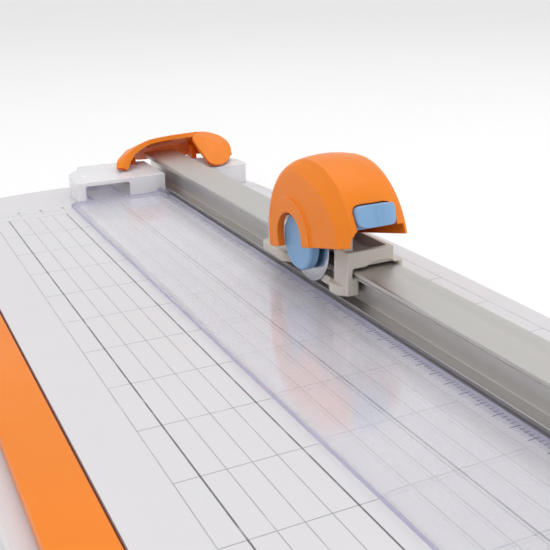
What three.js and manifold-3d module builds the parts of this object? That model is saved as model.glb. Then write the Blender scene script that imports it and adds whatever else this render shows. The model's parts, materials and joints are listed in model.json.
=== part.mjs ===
// Rotary paper trimmer, millimetres, +Z up.
//
// Every piece is drawn in the bed frame: X runs across the bed, Y runs along the cutting rail, and
// Z = 0 is the work surface. X = 0 is the outermost ruled line and Y = 0 the first ruled cross line.
// The whole group is then moved so that its origin lies on the desk, under the middle of its box.

import * as THREE from 'three';
import { mergeVertices } from 'three/addons/utils/BufferGeometryUtils.js';
import Module from 'manifold-3d';

const wasm = await Module();
wasm.setup();

// ---------------------------------------------------------------------------------------------
// Driving dimensions
// ---------------------------------------------------------------------------------------------

const inch = 25.4;
const ruleStep = inch / 4;
const cutX = 13 * ruleStep;

const bed = { left: -33, right: 130, near: -334, far: 32, deep: 12, skin: 2.4, wall: 2.6 };
const bow = { left: 3, right: 7, near: 15, far: 15 };
const cornerRadius = 16;
const footDrop = 2;

const arm = { left: -30.1, right: -15.9, pivotY: 18, near: -326, thick: 5, floor: -5.4 };

const matStrip = { left: 80.3, right: 84.9, deep: 1 };
const scrapPlate = { left: 99, top: 1.2 };

const rail = {
  mid: 93.8, bottom: 1.6, flangeTop: 3, headBottom: 11.2, top: 13.5,
  flangeHalf: 9.7, neckHalf: 5.2, headHalf: 8.3, near: -346, far: 49,
};
const headLeft = rail.mid - rail.headHalf;
const headRight = rail.mid + rail.headHalf;

const clamp = { left: 36, right: 82, bottom: 0.5, top: 3, near: -308, far: 8, pivotX: 80.6, pivotZ: 1.9 };
const endBlock = { left: 41, right: 127.5, height: 10, farFront: 12, nearFront: -312, wall: 2 };

const lever = { pivotY: 44.5, pivotZ: 6.8, leftEar: 77.5, rightEar: 110.5, wall: 2.2 };

const axle = { y: -137.2, z: 17.7, radius: 2 };
const blade = { radius: 14, thick: 0.3 };
const pressTravel = 3.6;
const pressSpringY = { near: -147, far: -130 };

const cover = { left: 75.6, right: 98.3, midY: -147, midZ: 18.8, radius: 28.4, crown: 29.4, wall: 1.8 };
const coverTilt = THREE.MathUtils.degToRad(14.2);
const coverMidX = (cover.left + cover.right) / 2;

const carriage = { near: -162, far: -104, left: 83.1, right: 103.9, deckBottom: 14.2, deckTop: 15.8 };
const tray = { top: 19.9, right: 100.4 };
const guidePostTop = 23.9;

const runningGap = 0.06;

// ---------------------------------------------------------------------------------------------
// Materials
// ---------------------------------------------------------------------------------------------

const palette = {
  whitePlastic: { color: 0xdddadd, roughness: 0.45, metalness: 0 },
  orangePlastic: { color: 0xee862a, roughness: 0.4, metalness: 0 },
  bluePlastic: { color: 0x769dc6, roughness: 0.4, metalness: 0 },
  greyPlastic: { color: 0xcdc6be, roughness: 0.5, metalness: 0 },
  darkPlastic: { color: 0x5c5f63, roughness: 0.6, metalness: 0 },
  clearPlastic: { color: 0xd6d4e2, roughness: 0.1, metalness: 0 },
  aluminium: { color: 0xbab6b3, roughness: 0.35, metalness: 1 },
  steel: { color: 0xc8c9cc, roughness: 0.25, metalness: 1 },
  rubber: { color: 0x2a2a2c, roughness: 0.9, metalness: 0 },
  mat: { color: 0x9a9aa2, roughness: 0.8, metalness: 0 },
};

// ---------------------------------------------------------------------------------------------
// Solids: three.js geometry in, booleans by manifold, three.js geometry out
// ---------------------------------------------------------------------------------------------

function signedVolume(positions, index) {
  const a = new THREE.Vector3();
  const b = new THREE.Vector3();
  const c = new THREE.Vector3();
  let sum = 0;
  for (let i = 0; i < index.length; i += 3) {
    a.fromArray(positions, 3 * index[i]);
    b.fromArray(positions, 3 * index[i + 1]);
    c.fromArray(positions, 3 * index[i + 2]);
    sum += a.dot(b.cross(c));
  }
  return sum / 6;
}

function solidFrom(geometry) {
  geometry.deleteAttribute('normal');
  geometry.deleteAttribute('uv');
  const merged = mergeVertices(geometry, 1e-4);
  const positions = merged.attributes.position.array;
  const index = [];
  for (let i = 0; i < merged.index.count; i += 3) {
    const [a, b, c] = [0, 1, 2].map((k) => merged.index.getX(i + k));
    if (a !== b && b !== c && c !== a) index.push(a, b, c);
  }
  if (signedVolume(positions, index) < 0) {
    for (let i = 0; i < index.length; i += 3) {
      [index[i], index[i + 1]] = [index[i + 1], index[i]];
    }
  }
  const mesh = new wasm.Mesh({
    numProp: 3,
    vertProperties: new Float32Array(positions),
    triVerts: new Uint32Array(index),
  });
  return new wasm.Manifold(mesh);
}

function geometryFrom(solid) {
  const { vertProperties, triVerts } = solid.getMesh();
  const geometry = new THREE.BufferGeometry();
  geometry.setAttribute('position', new THREE.BufferAttribute(vertProperties, 3));
  geometry.setIndex(new THREE.BufferAttribute(triVerts, 1));
  return geometry;
}

function join(...solids) {
  return solids.reduce((whole, next) => whole.add(next));
}

function cut(solid, ...tools) {
  return tools.reduce((rest, tool) => rest.subtract(tool), solid);
}

// The solid without any small pocket that its slices have closed off.
function withoutPockets(solid) {
  const shells = solid.decompose().filter((shell) => shell.volume() > 0);
  return join(...shells);
}

function box(x0, x1, y0, y1, z0, z1) {
  const geometry = new THREE.BoxGeometry(x1 - x0, y1 - y0, z1 - z0);
  geometry.translate((x0 + x1) / 2, (y0 + y1) / 2, (z0 + z1) / 2);
  return solidFrom(geometry);
}

// A prism along an axis. Its outline is in (Y, Z) for axis x, (X, Z) for axis y and (X, Y) for axis z.
function prism(axis, shape, from, to, curveSegments = 6) {
  const depth = to - from;
  const geometry = new THREE.ExtrudeGeometry(shape, { depth, bevelEnabled: false, curveSegments });
  return solidFrom(standUp(geometry, axis, from, to));
}

function standUp(geometry, axis, from, to) {
  const turn = new THREE.Matrix4();
  if (axis === 'x') {
    turn.makeBasis(new THREE.Vector3(0, 1, 0), new THREE.Vector3(0, 0, 1), new THREE.Vector3(1, 0, 0));
    turn.setPosition(from, 0, 0);
  }
  if (axis === 'y') {
    turn.makeBasis(new THREE.Vector3(1, 0, 0), new THREE.Vector3(0, 0, 1), new THREE.Vector3(0, -1, 0));
    turn.setPosition(0, to, 0);
  }
  if (axis === 'z') turn.setPosition(0, 0, from);
  return geometry.applyMatrix4(turn);
}

// A rod along an axis, centred on the other two coordinates (a, b) in X, Y, Z order.
function rod(axis, a, b, radius, from, to, segments = 24) {
  const shape = new THREE.Shape();
  for (let i = 0; i < segments; i += 1) {
    const turn = (i / segments) * 2 * Math.PI;
    const u = a + radius * Math.cos(turn);
    const v = b + radius * Math.sin(turn);
    if (i === 0) shape.moveTo(u, v);
    else shape.lineTo(u, v);
  }
  return prism(axis, shape, from, to);
}

// A solid of revolution about an X axis through (y, z). The profile lists [x, radius] and starts and
// ends on the axis. It may also be a function of the angle, which runs from the far side over the top.
function revolveX(profile, y, z, segments) {
  const sections = [];
  for (let i = 0; i < segments; i += 1) {
    const turn = (i / segments) * 2 * Math.PI;
    const section = typeof profile === 'function' ? profile(turn) : profile;
    sections.push(section.map(([x, radius]) => [
      x, y + radius * Math.cos(turn), z + radius * Math.sin(turn),
    ]));
  }
  const count = sections[0].length;
  const index = [];
  for (let i = 0; i < segments; i += 1) {
    const here = i * count;
    const next = ((i + 1) % segments) * count;
    for (let j = 0; j + 1 < count; j += 1) {
      index.push(here + j, next + j, here + j + 1, next + j, next + j + 1, here + j + 1);
    }
  }
  const geometry = new THREE.BufferGeometry();
  geometry.setAttribute('position', new THREE.BufferAttribute(new Float32Array(sections.flat(2)), 3));
  geometry.setIndex(index);
  return solidFrom(geometry);
}

// A closed outline with each corner rounded: corners are [u, v, radius].
function roundedShape(corners) {
  const shape = new THREE.Shape();
  const count = corners.length;
  for (let i = 0; i < count; i += 1) {
    const corner = new THREE.Vector2(corners[i][0], corners[i][1]);
    const before = corners[(i + count - 1) % count];
    const after = corners[(i + 1) % count];
    const room = 0.48 * Math.min(corner.distanceTo(planePoint(before)), corner.distanceTo(planePoint(after)));
    const radius = Math.min(corners[i][2] ?? 0, room);
    const start = pointTowards(corner, before, radius);
    const end = pointTowards(corner, after, radius);
    if (i === 0) shape.moveTo(start.x, start.y);
    else shape.lineTo(start.x, start.y);
    if (radius > 0.01) shape.quadraticCurveTo(corner.x, corner.y, end.x, end.y);
  }
  shape.closePath();
  return shape;
}

function planePoint([u, v]) {
  return new THREE.Vector2(u, v);
}

function pointTowards(corner, target, distance) {
  return planePoint(target).sub(corner).normalize().multiplyScalar(distance).add(corner);
}

function roundedRect(u0, u1, v0, v1, radius) {
  return roundedShape([[u0, v0, radius], [u1, v0, radius], [u1, v1, radius], [u0, v1, radius]]);
}

// ---------------------------------------------------------------------------------------------
// The object
// ---------------------------------------------------------------------------------------------

const trimmer = new THREE.Group();
const pieces = new THREE.Group();
trimmer.add(pieces);

function addPiece(name, solid, look, parent = pieces) {
  const mesh = new THREE.Mesh(geometryFrom(solid), new THREE.MeshStandardMaterial(palette[look]));
  mesh.name = name;
  parent.add(mesh);
  return mesh;
}

// The bed is a barrel-sided rectangle: each side bows out and the corners are well rounded.
function bedShape(inset) {
  const [x0, x1] = [bed.left + inset, bed.right - inset];
  const [y0, y1] = [bed.near + inset, bed.far - inset];
  const r = cornerRadius;
  const [midX, midY] = [(x0 + x1) / 2, (y0 + y1) / 2];
  const sag = 2 * r / (x1 - x0);
  const rise = bow.far * 2 * sag * 0.9;
  const shape = new THREE.Shape();
  shape.moveTo(x1, y0 + r);
  shape.quadraticCurveTo(x1 + 2 * bow.right, midY, x1, y1 - r);
  shape.quadraticCurveTo(x1 - 0.3, y1, x1 - r, y1 + rise);
  shape.quadraticCurveTo(midX, y1 + 2 * bow.far, x0 + r, y1 + rise);
  shape.quadraticCurveTo(x0 + 0.3, y1, x0, y1 - r);
  shape.quadraticCurveTo(x0 - 2 * bow.left, midY, x0, y0 + r);
  shape.quadraticCurveTo(x0 + 0.3, y0, x0 + r, y0 - rise);
  shape.quadraticCurveTo(midX, y0 - 2 * bow.near, x1 - r, y0 - rise);
  shape.quadraticCurveTo(x1 - 0.3, y0, x1, y0 + r);
  return shape;
}

const feetPlaces = [
  { name: 'foot_far_left', x: -12, y: 20 },
  { name: 'foot_far_right', x: 112, y: 20 },
  { name: 'foot_near_left', x: -12, y: -322 },
  { name: 'foot_near_right', x: 112, y: -322 },
];

const blockScrews = [
  { name: 'block_screw_far_left', x: 53, y: 38 },
  { name: 'block_screw_far_right', x: 110, y: 32 },
  { name: 'block_screw_near_left', x: 53, y: -338 },
  { name: 'block_screw_near_right', x: 110, y: -332 },
];

const railScrews = [
  { name: 'rail_screw_far', x: rail.mid, y: 30 },
  { name: 'rail_screw_near', x: rail.mid, y: -330 },
];

const armMid = (arm.left + arm.right) / 2;
const armHalf = (arm.right - arm.left) / 2;
const skirtBottom = -bed.deep;

function makeBase() {
  const shape = bedShape(1);
  const outer = new THREE.ExtrudeGeometry(shape, {
    depth: bed.deep - 2, bevelEnabled: true, bevelSize: 1, bevelThickness: 1, bevelSegments: 2,
    curveSegments: 8,
  });
  outer.translate(0, 0, skirtBottom + 1);
  const cavity = prism('z', bedShape(bed.wall), skirtBottom - 1, -bed.skin, 8);
  let ribs = box(-60, 160, -153, -151, skirtBottom + 1, -bed.skin + 0.5);
  for (const y of [-300, -260, -206, -98, -44, -6]) {
    ribs = ribs.add(box(-60, 160, y - 0.9, y + 0.9, skirtBottom + 1, -bed.skin + 0.5));
  }
  for (const x of [16, 52, 76, 92, 116]) {
    ribs = ribs.add(box(x - 0.9, x + 0.9, -360, 60, skirtBottom + 1, -bed.skin + 0.5));
  }
  const rim = prism('z', bedShape(bed.wall - 0.6), skirtBottom + 1, -bed.skin + 0.5, 8);
  let inside = ribs.intersect(rim);
  for (const { x, y } of feetPlaces) {
    inside = inside.add(rod('z', x, y, 9, skirtBottom, -bed.skin + 0.5));
  }
  for (const { x, y } of [...blockScrews, ...railScrews]) {
    inside = inside.add(rod('z', x, y, 4, skirtBottom + 1.5, -bed.skin + 0.5).intersect(rim));
  }
  inside = inside.add(rod('z', armMid, arm.pivotY, 6, skirtBottom + 0.6, arm.floor - 1));
  const shelf = prism('z', bedShape(0.8), arm.floor - bed.skin, arm.floor, 8);
  const armBay = box(-60, arm.right + 3, -360, 60, skirtBottom - 2, 2);
  let base = join(cut(solidFrom(outer), cavity), inside, shelf.intersect(armBay));
  const recess = armRecess();
  base = cut(base, recess);
  base = cut(base, box(matStrip.left, matStrip.right, -309, 9, -matStrip.deep, 2));
  for (const { x, y } of feetPlaces) {
    base = cut(base, rod('z', x, y, 7.4, skirtBottom - 1, skirtBottom + 0.7));
  }
  for (const { x, y } of [...blockScrews, ...railScrews]) {
    base = cut(base, rod('z', x, y, 1.7, skirtBottom - 1, 2), rod('z', x, y, 3.1, skirtBottom, -8.4));
  }
  return cut(base, rod('z', armMid, arm.pivotY, axle.radius + runningGap, skirtBottom, 2));
}

// The swing arm lies in a channel that is open along the bed's left side.
function armRecess() {
  const gap = 0.5;
  const channel = box(-60, arm.right + gap, arm.near - gap, arm.pivotY, arm.floor, 3);
  const farEnd = rod('z', armMid, arm.pivotY, armHalf + gap, arm.floor, 3);
  const farEndOpening = box(-60, armMid, arm.pivotY - 1, arm.pivotY + armHalf + gap, arm.floor, 3);
  return join(channel, farEnd, farEndOpening);
}

addPiece('base_shell', makeBase(), 'whitePlastic');

for (const { name, x, y } of feetPlaces) {
  const pad = rod('z', x, y, 7, skirtBottom - footDrop, skirtBottom + 0.65);
  addPiece(name, pad, 'rubber');
}

const stripGap = 0.08;
addPiece('cutting_mat_strip', box(
  matStrip.left + stripGap, matStrip.right - stripGap, -308.8, 8.8, -matStrip.deep + 0.02, 0,
), 'mat');

// The scrap side carries a thin ruled plate whose rail edge is chamfered to lead the paper over it.
function makeScrapPlate() {
  const outline = prism('z', bedShape(2.2), 0.04, scrapPlate.top, 8);
  const keep = box(scrapPlate.left, 160, -308, 8, -1, 3);
  const lead = new THREE.Shape([
    new THREE.Vector2(scrapPlate.left - 1, 3),
    new THREE.Vector2(scrapPlate.left - 1, -0.4),
    new THREE.Vector2(scrapPlate.left + 4, scrapPlate.top),
    new THREE.Vector2(scrapPlate.left + 4, 3),
  ]);
  return cut(outline.intersect(keep), prism('y', lead, -320, 20));
}
addPiece('scrap_side_plate', makeScrapPlate(), 'whitePlastic');

// ---------------------------------------------------------------------------------------------
// Rail
// ---------------------------------------------------------------------------------------------

function makeRail() {
  const m = rail.mid;
  const half = [
    [rail.flangeHalf, rail.bottom, 0.3], [rail.flangeHalf, rail.flangeTop, 0.3],
    [rail.neckHalf, rail.flangeTop, 0.4], [rail.neckHalf, rail.headBottom, 0.4],
    [rail.headHalf, rail.headBottom, 0.4], [rail.headHalf, rail.headBottom + 0.7, 0],
    [rail.headHalf - 0.25, rail.headBottom + 0.8, 0], [rail.headHalf - 0.25, rail.headBottom + 1.1, 0],
    [rail.headHalf, rail.headBottom + 1.2, 0], [rail.headHalf, rail.top, 1.1],
  ];
  const right = half.map(([u, v, r]) => [m + u, v, r]);
  const left = half.map(([u, v, r]) => [m - u, v, r]).reverse();
  const shape = roundedShape([...right, ...left]);
  const tube = prism('y', shape, rail.near, rail.far, 4);
  const hollow = roundedRect(m - 3.6, m + 3.6, rail.flangeTop + 0.6, rail.top - 1.6, 0.6);
  let body = cut(tube, prism('y', hollow, rail.near - 1, rail.far + 1, 3));
  for (const { x, y } of railScrews) {
    body = cut(body, rod('z', x, y, 1.55, 0, rail.flangeTop + 1));
  }
  return body;
}
addPiece('rail_extrusion', makeRail(), 'aluminium');

function makeScrew(x, y, headZ, shankTop, shankRadius = 1.5) {
  const head = rod('z', x, y, 2.8, headZ, headZ + 1.4, 24);
  const shank = rod('z', x, y, shankRadius, headZ + 1, shankTop, 20);
  const slotWide = 0.5;
  const crossA = box(x - 1.7, x + 1.7, y - slotWide, y + slotWide, headZ - 1, headZ + 0.7);
  const crossB = box(x - slotWide, x + slotWide, y - 1.7, y + 1.7, headZ - 1, headZ + 0.7);
  return cut(join(head, shank), crossA, crossB);
}
for (const { name, x, y } of railScrews) {
  addPiece(name, makeScrew(x, y, -9.9, rail.flangeTop + 0.9), 'steel');
}
for (const { name, x, y } of blockScrews) {
  addPiece(name, makeScrew(x, y, -9.9, 5.4), 'steel');
}

// ---------------------------------------------------------------------------------------------
// End blocks: moulded clear housings that straddle the rail at each end
// ---------------------------------------------------------------------------------------------

// Both blocks end flush with the bed's bowed end wall. A slab of that outline, inset all round.
function blockSlab(front, towardsFar, inset, z0, z1) {
  const back = front + towardsFar * 60;
  const [x0, x1] = [endBlock.left + inset, endBlock.right - inset];
  const y0 = front + towardsFar * inset;
  const plan = roundedShape([
    [x0, y0, 3], [x1, y0, 3], [x1, back, 0], [x0 + 11, back, 0], [x0 + 8, front + towardsFar * 30, 6],
    [x0, front + towardsFar * 22, 6],
  ]);
  return prism('z', plan, z0, z1, 4).intersect(prism('z', bedShape(1.2 + inset), z0, z1, 8));
}

function makeBlock(front, towardsFar) {
  const floor = 0.2;
  const w = endBlock.wall;
  const [yLow, yHigh] = towardsFar > 0 ? [front - 5, front + 60] : [front - 60, front + 5];
  let block = blockSlab(front, towardsFar, 0, floor, endBlock.height);
  block = cut(block, blockSlab(front, towardsFar, w, floor - 1, endBlock.height - w));
  const clear = 0.5;
  const railPocket = box(
    rail.mid - rail.flangeHalf - clear, rail.mid + rail.flangeHalf + clear, yLow, yHigh, 1.45, 30,
  );
  const bridge = box(82, 106, yLow, yHigh, floor, 1.3).intersect(blockSlab(front, towardsFar, 0.5, floor, 1.3));
  const cheeks = join(
    box(81.4, 83.6, yLow, yHigh, floor, endBlock.height),
    box(104, 106, yLow, yHigh, floor, endBlock.height),
  ).intersect(blockSlab(front, towardsFar, 0.5, floor, endBlock.height));
  block = cut(join(block, cheeks), railPocket).add(bridge);
  const screws = blockScrews.filter(({ y }) => y > yLow && y < yHigh);
  for (const { x, y } of screws) {
    block = block.add(rod('z', x, y, 3.6, floor, endBlock.height - 1));
    block = cut(block, rod('z', x, y, 1.55, floor - 1, 6));
  }
  for (const { x, y } of railScrews) {
    block = cut(block, rod('z', x, y, 1.7, 0, 2));
  }
  return block;
}

const windowShape = roundedRect(44.5, 66, 0.6, 8.2, 1.5);

function makeFarBlock() {
  let block = makeBlock(endBlock.farFront, 1);
  const front = endBlock.farFront;
  block = cut(block, prism('y', windowShape, front - 1, front + 3));
  for (const x of [lever.leftEar, lever.rightEar]) {
    const lug = box(x - 5, x + 5, lever.pivotY - 4, lever.pivotY + 4, 0.4, endBlock.height - 1)
      .intersect(blockSlab(front, 1, 0.3, 0, endBlock.height));
    const slot = box(x - 1.6, x + 1.6, lever.pivotY - 6, lever.pivotY + 20, -1, 20);
    block = cut(block.add(lug), slot);
    block = cut(block, rod('x', lever.pivotY, lever.pivotZ, 1.5 + runningGap, x - 6, x + 6));
  }
  block = cut(block, rod('y', clamp.pivotX, clamp.pivotZ, 1.2 + runningGap, front - 1, front + 6, 24));
  return block;
}

function makeNearBlock() {
  let block = makeBlock(endBlock.nearFront, -1);
  const front = endBlock.nearFront;
  block = cut(block, prism('y', windowShape, front - 3, front + 1));
  return cut(block, rod('y', clamp.pivotX, clamp.pivotZ, 1.2 + runningGap, front - 6, front + 1, 24));
}

addPiece('end_block_far', makeFarBlock(), 'clearPlastic');
addPiece('end_block_near', makeNearBlock(), 'clearPlastic');

// ---------------------------------------------------------------------------------------------
// Clear paper clamp: a flap along the rail that tips about two pins beside the cutting line
// ---------------------------------------------------------------------------------------------

function makeClamp() {
  const top = clamp.top;
  const section = roundedShape([
    [clamp.left, clamp.bottom, 0.3], [clamp.left + 0.2, top - 1.2, 0.3], [clamp.left + 2, top - 0.4, 0.6],
    [72.8, top - 0.4, 0.5], [76, top, 0.5], [79.4, top, 0.5], [clamp.right, top - 0.5, 0.5],
    [clamp.right, clamp.bottom, 0.3],
  ]);
  const plate = prism('y', section, clamp.near, clamp.far, 3);
  const tongueFar = box(47, 62.5, clamp.far - 6, 33, 1.3, clamp.top - 0.4);
  const tongueNear = box(47, 62.5, -333, clamp.near + 6, 1.3, clamp.top - 0.4);
  let body = join(plate, tongueFar, tongueNear);
  const barrelFar = rod('y', clamp.pivotX, clamp.pivotZ, 1.35, clamp.far - 2, endBlock.farFront - 0.5, 24);
  const barrelNear = rod('y', clamp.pivotX, clamp.pivotZ, 1.35, endBlock.nearFront + 0.5, clamp.near + 2, 24);
  body = join(body, barrelFar, barrelNear);
  const pinBore = (from, to) => rod('y', clamp.pivotX, clamp.pivotZ, 0.8 + runningGap, from, to, 24);
  return cut(body, pinBore(clamp.far - 8, 20), pinBore(-330, clamp.near + 8));
}
addPiece('paper_clamp', makeClamp(), 'clearPlastic');

function makeClampPin(inner, outer) {
  const [from, to] = inner < outer ? [inner, outer] : [outer, inner];
  return rod('y', clamp.pivotX, clamp.pivotZ, 0.8, from, to, 24);
}
addPiece('clamp_pin_far', makeClampPin(clamp.far - 7, endBlock.farFront + 5), 'steel');
addPiece('clamp_pin_near', makeClampPin(clamp.near + 7, endBlock.nearFront - 5), 'steel');

// ---------------------------------------------------------------------------------------------
// Clamp lever: a thin hood over the far end of the rail, with a thumb paddle at its right. It turns on
// two ears at its back, so the paddle and the rim rise towards the far side.
// ---------------------------------------------------------------------------------------------

// Each station of the hood, from its left tip round the rail's end to the paddle: the front edge, the
// ridge above it and the back edge. bulge says how far the wall between them stands out.
const hoodStations = [
  { front: [69.5, 24.5, 10.7], ridge: [66, 24, 12.4], back: [65.5, 28, 10.7] },
  { front: [74.2, 28, 13.8], ridge: [68.9, 27, 16.8], back: [66.5, 35, 10.7] },
  { front: [78, 32, 17.2], ridge: [74.5, 31, 19.9], back: [70, 42, 11.2] },
  { front: [82.2, 35.5, 18.8], ridge: [80, 35, 21.2], back: [75, 50, 11], bulge: 1.5 },
  { front: [87, 39, 19.6], ridge: [86.1, 39, 21.9], back: [82.6, 56, 8.6], bulge: 1.8 },
  { front: [97, 43, 19.6], ridge: [95.5, 43, 22], back: [95, 57, 8.4], bulge: 1.8 },
  { front: [105.8, 43, 19.4], ridge: [105.5, 44, 22.3], back: [106, 55.5, 8.6], bulge: 1.5 },
  { front: [112.6, 39, 19.6], ridge: [115.5, 40.5, 22.9], back: [116, 50, 9.4] },
  { front: [118, 33, 18], ridge: [121.6, 34, 21], back: [121.4, 42, 10.7] },
  { front: [120.4, 28, 14.5], ridge: [123.4, 28.5, 16.9], back: [123.4, 33.5, 10.7] },
  { front: [120.2, 25, 11], ridge: [122.9, 24.5, 13.2], back: [123.2, 28.3, 10.7] },
];

// The paddle's rim as it rises from its near edge, round its right-hand side, to the ridge.
const paddleRim = [
  [107.4, 11.2, 12.6], [112, 11.4, 11.2], [116.5, 14.6, 11], [121, 19.5, 12.4], [124.4, 25, 15.2],
  [124.6, 30, 18.6], [121.5, 36, 21.4], [114.5, 40.5, 22.9], [108.8, 38.5, 21.4], [107.4, 30, 18.4],
  [107, 20, 15.6],
];

function hoodSection({ front, ridge, back, bulge = 1.1 }) {
  const [f, r, b] = [front, ridge, back].map((place) => new THREE.Vector3(...place));
  const inward = new THREE.Vector3(95 - r.x, 30 - r.y, 0).normalize().multiplyScalar(lever.wall);
  const shoulder = r.clone().lerp(b, 0.45).addScaledVector(inward, -bulge);
  shoulder.z += 0.4;
  const backInside = b.clone().add(inward);
  const shoulderInside = shoulder.clone().add(inward);
  shoulderInside.z -= 1;
  const ridgeInside = r.clone().lerp(f, 0.4).addScaledVector(inward, 0.35);
  ridgeInside.z = Math.max(f.z - 0.1, r.z - lever.wall);
  return [f, r, shoulder, b, backInside, shoulderInside, ridgeInside];
}

// A closed tube through a run of sections, drawn to a point at each end.
function loft(sections, samples) {
  const count = sections[0].length;
  const rails = sections[0].map((_, k) => new THREE.CatmullRomCurve3(sections.map((section) => section[k])));
  const rings = [];
  for (let i = 0; i <= samples; i += 1) {
    rings.push(rails.map((curve) => curve.getPoint(i / samples)));
  }
  const tip = (ring, next) => {
    const [a, b] = [ring, next].map((points) => points.reduce((sum, q) => sum.add(q), new THREE.Vector3()));
    a.multiplyScalar(1 / count);
    b.multiplyScalar(1 / count);
    const point = a.clone().addScaledVector(a.clone().sub(b).normalize(), 0.8);
    return ring.map(() => point);
  };
  const all = [tip(rings[0], rings[1]), ...rings, tip(rings[samples], rings[samples - 1])];
  const positions = all.flat().flatMap((point) => point.toArray());
  const index = [];
  for (let i = 0; i + 1 < all.length; i += 1) {
    for (let k = 0; k < count; k += 1) {
      const next = (k + 1) % count;
      const [a, b] = [i * count + k, i * count + next];
      index.push(a, b, a + count, b, b + count, a + count);
    }
  }
  const geometry = new THREE.BufferGeometry();
  geometry.setAttribute('position', new THREE.BufferAttribute(new Float32Array(positions), 3));
  geometry.setIndex(index);
  return solidFrom(geometry);
}

function makePaddle() {
  const rim = new THREE.CatmullRomCurve3(paddleRim.map((place) => new THREE.Vector3(...place)), true);
  const points = [];
  for (let i = 0; i < 40; i += 1) {
    const point = rim.getPoint(i / 40);
    points.push(point.toArray(), [point.x, point.y + 1.2, Math.max(point.z - 1.6, 10.5)]);
  }
  points.push([114, 20.5, 16.6], [116.5, 26, 19.2], [113, 32, 21.4], [118.5, 29.5, 20]);
  return wasm.Manifold.hull(points);
}

function makeLever() {
  let body = join(loft(hoodStations.map(hoodSection), 30), makePaddle());
  for (const x of [lever.leftEar, lever.rightEar]) {
    const ear = prism('x', roundedShape([
      [lever.pivotY - 3, lever.pivotZ - 2.8, 2.4], [lever.pivotY + 3, lever.pivotZ - 2.8, 2.4],
      [lever.pivotY + 7.5, 14.5, 2], [lever.pivotY + 2, 16.8, 2], [lever.pivotY - 3, lever.pivotZ + 3, 2.4],
    ]), x - 1.3, x + 1.3, 4);
    body = cut(body.add(ear), rod('x', lever.pivotY, lever.pivotZ, 1.5 + runningGap, x - 5, x + 5));
  }
  return withoutPockets(body);
}

addPiece('clamp_lever', makeLever(), 'orangePlastic');
for (const [name, x] of [['lever_pin_left', lever.leftEar], ['lever_pin_right', lever.rightEar]]) {
  addPiece(name, rod('x', lever.pivotY, lever.pivotZ, 1.5, x - 4.7, x + 4.7), 'steel');
}

// ---------------------------------------------------------------------------------------------
// Swing-out ruler arm
// ---------------------------------------------------------------------------------------------

function makeArm() {
  const top = -0.1;
  const bottom = top - arm.thick;
  const shape = new THREE.Shape();
  shape.moveTo(arm.left, arm.near + 3);
  shape.quadraticCurveTo(arm.left, arm.near, arm.left + 3, arm.near);
  shape.lineTo(arm.right - 3, arm.near);
  shape.quadraticCurveTo(arm.right, arm.near, arm.right, arm.near + 3);
  shape.absarc(armMid, arm.pivotY, armHalf, 0, Math.PI, false);
  shape.closePath();
  const geometry = new THREE.ExtrudeGeometry(shape, {
    depth: arm.thick - 1, bevelEnabled: true, bevelSize: 0.5, bevelThickness: 0.5, bevelSegments: 2,
    bevelOffset: -0.5, curveSegments: 10,
  });
  geometry.translate(0, 0, bottom + 0.5);
  let body = solidFrom(geometry);
  body = cut(body, rod('z', armMid, arm.pivotY, axle.radius + runningGap, bottom - 1, 2));
  body = cut(body, rod('z', armMid, arm.pivotY, 4, top - 1.8, 2));
  const thumbNotch = rod('z', arm.left - 4, arm.near + 22, 8, bottom - 1, bottom + 2.4);
  return cut(body, thumbNotch);
}
addPiece('swing_arm', makeArm(), 'orangePlastic');

function makeArmPivot() {
  const top = -0.4;
  const head = rod('z', armMid, arm.pivotY, 3.7, top - 1.3, top, 32);
  const shank = rod('z', armMid, arm.pivotY, axle.radius, skirtBottom + 0.8, top - 1);
  const drive = prism('z', hexShape(armMid, arm.pivotY, 1.4), top - 0.9, top + 1);
  return cut(join(head, shank), drive);
}

function hexShape(x, y, radius) {
  const points = [];
  for (let i = 0; i < 6; i += 1) {
    const turn = (i / 6) * 2 * Math.PI;
    points.push(new THREE.Vector2(x + radius * Math.cos(turn), y + radius * Math.sin(turn)));
  }
  return new THREE.Shape(points);
}
addPiece('arm_pivot_screw', makeArmPivot(), 'steel');

// ---------------------------------------------------------------------------------------------
// Carriage: a sledge that hooks under the rail's head and carries the cutting head
// ---------------------------------------------------------------------------------------------

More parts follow.
